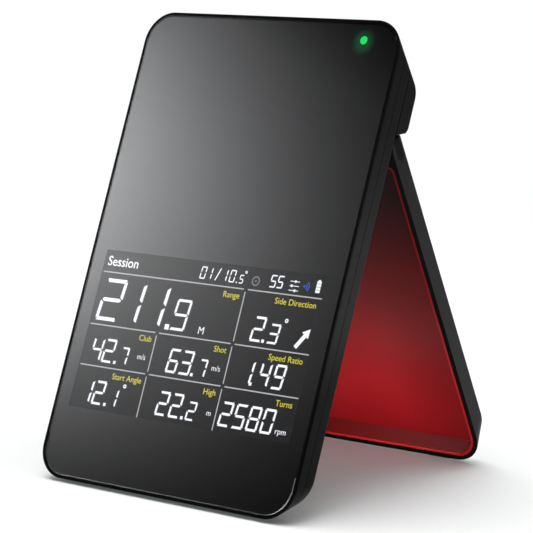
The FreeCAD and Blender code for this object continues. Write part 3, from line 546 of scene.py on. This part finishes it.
def grid_lines():
    """Thin rules between the cells, with small gaps where they cross."""
    lines = bmesh.new()
    half = LINE_WIDTH / 2
    gap = 0.9
    left, right = GRID_LEFT + 0.9, GRID_RIGHT - 0.2
    bar(lines, left, COLUMN_B - gap, ROW_TITLE - half, ROW_TITLE + half)
    bar(lines, COLUMN_B + gap, right, ROW_TITLE - half, ROW_TITLE + half)
    for u in (ROW_MAIN, ROW_MIDDLE):
        bar(lines, left, COLUMN_A - gap, u - half, u + half)
        bar(lines, COLUMN_A + gap, COLUMN_B - gap, u - half, u + half)
        bar(lines, COLUMN_B + gap, right, u - half, u + half)
    spans = ((COLUMN_B, ROW_TITLE, ROW_MAIN), (COLUMN_B, ROW_MAIN, ROW_MIDDLE),
             (COLUMN_B, ROW_MIDDLE, GRID_BOTTOM), (COLUMN_A, ROW_MAIN, ROW_MIDDLE),
             (COLUMN_A, ROW_MIDDLE, GRID_BOTTOM))
    for x, top, bottom in spans:
        bar(lines, x - half, x + half, bottom + (gap if bottom > GRID_BOTTOM else 0), top - gap)
    return piece_from("display_grid", lines, LINE_GREY)


def arrow():
    """Arrow that points up and to the right."""
    shape = bmesh.new()
    tail, tip = Vector((42.2, 57.2)), Vector((46.9, 63.9))
    along = (tip - tail).normalized()
    side = Vector((-along.y, along.x))
    neck = tip - along * 2.9
    half, wing = 0.75, 1.75
    points = (tail - side * half, neck - side * half, neck - side * wing, tip,
              neck + side * wing, neck + side * half, tail + side * half)
    add_prism(shape, [(p.x, p.y) for p in points])
    return piece_from("display_arrow", shape, WHITE)


def status_icons():
    """Ring, sliders, wireless waves and battery in the title row."""
    grey = bmesh.new()
    ring(grey, 19.7, 77.6, 1.75, 1.2)
    disc(grey, 19.7, 77.6, 0.4)
    piece_from("display_ring", grey, DIM_GREY)

    white = bmesh.new()
    for row, knob in ((0, 36.6), (1.55, 35.0), (3.1, 36.3)):
        bar(white, 34.1, 38.0, 76.0 + row - 0.13, 76.0 + row + 0.13)
        disc(white, knob, 76.0 + row, 0.5)
    for row in range(4):
        bar(white, 45.1, 46.9, 76.2 + 1.03 * row, 77.1 + 1.03 * row)
    bar(white, 45.6, 46.4, 80.2, 80.6)
    piece_from("display_battery", white, WHITE)

    blue = bmesh.new()
    disc(blue, 40.2, 77.9, 0.42)
    for radius in (1.1, 2.0):
        arc_band(blue, 40.2, 77.9, radius + 0.18, radius - 0.18, -48, 48)
    piece_from("display_wireless", blue, BLUE)

    small = bmesh.new()
    digit(small, "5", 25.6, 76.1, 2.5, 4.4, 0.5)
    digit(small, "5", 28.6, 76.1, 2.5, 4.4, 0.5)
    digit(small, "0", -4.9, 76.1, 2.4, 4.4, 0.45)
    digit(small, "1", -2.1, 76.1, 2.3, 4.4, 0.45)
    add_prism(small, [(1.9, 76.1), (2.35, 76.1), (4.1, 80.5), (3.65, 80.5)])
    digit(small, "1", 4.6, 76.1, 2.3, 4.4, 0.45)
    digit(small, "0", 8.0, 76.1, 2.4, 4.4, 0.45)
    digit(small, "5", 12.4, 76.1, 1.8, 3.1, 0.4)
    dot(small, 11.3, 76.1, 0.5)
    ring(small, 14.9, 80.2, 0.5, 0.22)
    piece_from("display_setting", small, WHITE)


def label(name, words, x, u, height, made, align="RIGHT", weight=0.0):
    """Lettering on the panel: one piece of text turned into mesh."""
    curve = bpy.data.curves.new(name, "FONT")
    curve.body = words
    curve.align_x = align
    curve.size = height / 0.70
    curve.extrude = 0.01
    curve.offset = weight
    curve.resolution_u = 4
    text = bpy.data.objects.new(name + "_text", curve)
    bpy.context.scene.collection.objects.link(text)
    bpy.context.view_layer.update()
    mesh = bpy.data.meshes.new_from_object(text.evaluated_get(bpy.context.evaluated_depsgraph_get()))
    bpy.data.objects.remove(text)
    mesh.transform(Matrix.Translation((x + PARALLAX, u, -PRINT_DEPTH)))
    mesh.transform(FACE)
    mesh.materials.clear()
    mesh.materials.append(made)
    piece = bpy.data.objects.new(name, mesh)
    bpy.context.scene.collection.objects.link(piece)
    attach(piece, "monitor")
    return piece


def labels():
    """Generic words and units beside the figures."""
    label("title_text", "Session", -47.4, 76.8, 3.4, WHITE, align="LEFT", weight=0.05)
    yellow = (
        ("distance_label", "Range", 14.4, 70.9), ("aim_label", "Side Direction", 47.0, 70.9),
        ("club_label", "Club", -19.0, 51.9), ("ball_label", "Shot", 14.4, 51.9),
        ("ratio_label", "Speed Ratio", 46.9, 51.9), ("angle_label", "Start Angle", -19.0, 37.1),
        ("height_label", "High", 14.3, 37.1), ("turns_label", "Turns", 46.9, 37.1),
    )
    for name, words, x, u in yellow:
        label(name, words, x, u, 2.1, YELLOW)
    units = (
        ("length_unit", "M", 0.1, 57.1, 2.6), ("speed_unit_left", "m/s", -23.6, 45.4, 1.9),
        ("speed_unit_right", "m/s", 9.8, 45.4, 1.9), ("height_unit", "m", 12.2, 30.2, 1.9),
        ("rate_unit", "rpm", 42.1, 28.0, 2.0),
    )
    for name, words, x, u, height in units:
        label(name, words, x, u, height, WHITE, align="LEFT")


WHITE = lit("segment_white", srgb(250, 251, 255), 1.25)
LINE_GREY = lit("rule_grey", srgb(196, 197, 200), 1.0)
DIM_GREY = lit("icon_grey", srgb(120, 120, 124), 1.0)
YELLOW = lit("label_yellow", srgb(232, 222, 34), 1.12)
BLUE = lit("icon_blue", srgb(40, 92, 220), 1.0)


# ---------------------------------------------------------------- camera, floor and light

def floor():
    """Plain pale floor with a little light of its own, so that its shadows stay soft."""
    mesh = bpy.data.meshes.new("floor")
    half = FLOOR_HALF
    mesh.from_pydata([(-half, -half, 0), (half, -half, 0), (half, half, 0), (-half, half, 0)], [],
                     [(0, 1, 2, 3)])
    plane = bpy.data.objects.new("floor", mesh)
    bpy.context.scene.collection.objects.link(plane)
    made, tree, shader = material("floor_white")
    cloud = noise(tree, position(tree, (1, 1, 1)), 3)
    tree.links.new(blend_colours(tree, cloud, (0.86, 0.86, 0.86, 1), (0.87, 0.87, 0.87, 1)),
                   shader.inputs["Base Color"])
    shader.inputs["Emission Color"].default_value = FLOOR_GLOW_COLOUR
    shader.inputs["Emission Strength"].default_value = FLOOR_GLOW
    shader.inputs["Roughness"].default_value = 0.6
    shader.inputs["Specular IOR Level"].default_value = 0.1
    mesh.materials.append(made)


def look_from(target, azimuth, elevation, distance):
    """Place and turn of something that looks at a target. Azimuth 0 is in front, 90 to the right."""
    a, e = math.radians(azimuth), math.radians(elevation)
    back = Vector((math.sin(a) * math.cos(e), -math.cos(a) * math.cos(e), math.sin(e)))
    return target + back * distance, (-back).to_track_quat("-Z", "Y")


def place_camera():
    """Camera at the photograph's viewing angle."""
    data = bpy.data.cameras.new("camera")
    data.lens = CAMERA_LENS
    data.clip_start = 0.05
    camera = bpy.data.objects.new("camera", data)
    bpy.context.scene.collection.objects.link(camera)
    camera.rotation_mode = "QUATERNION"
    camera.location, camera.rotation_quaternion = look_from(
        CAMERA_TARGET, CAMERA_AZIMUTH, CAMERA_ELEVATION, CAMERA_DISTANCE)
    bpy.context.scene.camera = camera


def sun(name, azimuth, elevation, spread, strength):
    """Very broad sun, as from a large lamp screen far away."""
    data = bpy.data.lights.new(name, "SUN")
    data.angle = math.radians(spread)
    data.energy = strength
    light = bpy.data.objects.new(name, data)
    bpy.context.scene.collection.objects.link(light)
    light.rotation_mode = "QUATERNION"
    light.location, light.rotation_quaternion = look_from(Vector((0, 0, 0.08)), azimuth, elevation, 2.0)


def panel(name, target, azimuth, elevation, distance, width, height, power, only=None):
    """Rectangular area light that faces a point. It can be kept to one piece of the object."""
    data = bpy.data.lights.new(name, "AREA")
    data.shape = "RECTANGLE"
    data.size, data.size_y = width, height
    data.energy = power
    light = bpy.data.objects.new(name, data)
    bpy.context.scene.collection.objects.link(light)
    light.rotation_mode = "QUATERNION"
    light.location, light.rotation_quaternion = look_from(target, azimuth, elevation, distance)
    light.visible_camera = False
    light.visible_glossy = False
    if only:
        receivers = bpy.data.collections.new(name + "_receivers")
        receivers.objects.link(frame["nodes"][only])
        light.light_linking.receiver_collection = receivers


def glow_card():
    """Front-left light card, brightest in one place and fading outwards, for the glass to mirror."""
    place, turn = look_from(CARD_TARGET, CARD_AZIMUTH, CARD_ELEVATION, CARD_DISTANCE)
    mesh = bpy.data.meshes.new("light_card")
    half = CARD_SIZE / 2
    mesh.from_pydata([(-half, -half, 0), (half, -half, 0), (half, half, 0), (-half, half, 0)], [],
                     [(0, 1, 2, 3)])
    card = bpy.data.objects.new("light_card", mesh)
    bpy.context.scene.collection.objects.link(card)
    card.rotation_mode = "QUATERNION"
    card.location, card.rotation_quaternion = place, turn
    made, tree, shader = material("card_glow")
    shader.inputs["Base Color"].default_value = (0, 0, 0, 1)
    shader.inputs["Roughness"].default_value = 1.0
    shader.inputs["Specular IOR Level"].default_value = 0.0
    coordinates = tree.nodes.new("ShaderNodeTexCoord")
    mapping = tree.nodes.new("ShaderNodeMapping")
    mapping.vector_type = "TEXTURE"
    mapping.inputs["Location"].default_value = (*CARD_CENTRE, 0)
    mapping.inputs["Rotation"].default_value = (0, 0, CARD_TURN)
    mapping.inputs["Scale"].default_value = (*CARD_SPREAD, 1)
    tree.links.new(coordinates.outputs["Object"], mapping.inputs["Vector"])
    squared = tree.nodes.new("ShaderNodeVectorMath")
    squared.operation = "DOT_PRODUCT"
    tree.links.new(mapping.outputs["Vector"], squared.inputs[0])
    tree.links.new(mapping.outputs["Vector"], squared.inputs[1])
    fall = tree.nodes.new("ShaderNodeMath")
    fall.operation = "POWER"
    fall.inputs[0].default_value = math.exp(-1)
    tree.links.new(squared.outputs["Value"], fall.inputs[1])
    parts = tree.nodes.new("ShaderNodeSeparateXYZ")
    tree.links.new(coordinates.outputs["Object"], parts.inputs["Vector"])
    edge = ramp(tree, parts.outputs["Y"], CARD_TOP_FADE[0], CARD_TOP_FADE[1], 1.0, 0.0)
    strength = tree.nodes.new("ShaderNodeMath")
    strength.operation = "MULTIPLY"
    tree.links.new(fall.outputs["Value"], strength.inputs[0])
    tree.links.new(edge, strength.inputs[1])
    peak = tree.nodes.new("ShaderNodeMath")
    peak.operation = "MULTIPLY"
    peak.inputs[1].default_value = CARD_PEAK
    tree.links.new(strength.outputs["Value"], peak.inputs[0])
    shader.inputs["Emission Color"].default_value = (1, 1, 1, 1)
    tree.links.new(peak.outputs["Value"], shader.inputs["Emission Strength"])
    mesh.materials.append(made)
    card.visible_camera = False


def surroundings():
    """World that is white to the camera, and for lighting is dim at the horizon and brighter overhead."""
    world = bpy.data.worlds.new("studio")
    bpy.context.scene.world = world
    world.use_nodes = True
    tree = world.node_tree
    background = tree.nodes["Background"]
    coordinates = tree.nodes.new("ShaderNodeTexCoord")
    parts = tree.nodes.new("ShaderNodeSeparateXYZ")
    tree.links.new(coordinates.outputs["Generated"], parts.inputs["Vector"])
    sky = ramp(tree, parts.outputs["Z"], SKY_FADE[0], SKY_FADE[1], SKY_LOW, SKY_HIGH)
    path = tree.nodes.new("ShaderNodeLightPath")
    strength = tree.nodes.new("ShaderNodeMix")
    tree.links.new(path.outputs["Is Camera Ray"], strength.inputs["Factor"])
    tree.links.new(sky, strength.inputs["A"])
    strength.inputs["B"].default_value = 1.0
    background.inputs["Color"].default_value = (1, 1, 1, 1)
    tree.links.new(strength.outputs["Result"], background.inputs["Strength"])


def studio():
    """White surroundings with broad light from above and the left, and the card for the glass."""
    surroundings()
    sun("key_light", -60, 74, 60, 2.35)
    glow_card()
    panel("front_fill", Vector((0, 0, 0.01)), 25, 7, 1.6, 1.6, 0.25, FRONT_FILL_POWER)
    panel("tray_fill", Vector((0.005, 0.0482, 0.020)), 8, -20, 0.046, 0.060, 0.016, TRAY_FILL_POWER,
          only="stand_liner")
    bpy.context.scene.view_settings.view_transform = "Standard"
    bpy.context.scene.view_settings.look = "None"


dress_frame()
place_camera()
floor()
studio()
readings()
grid_lines()
arrow()
status_icons()
labels()
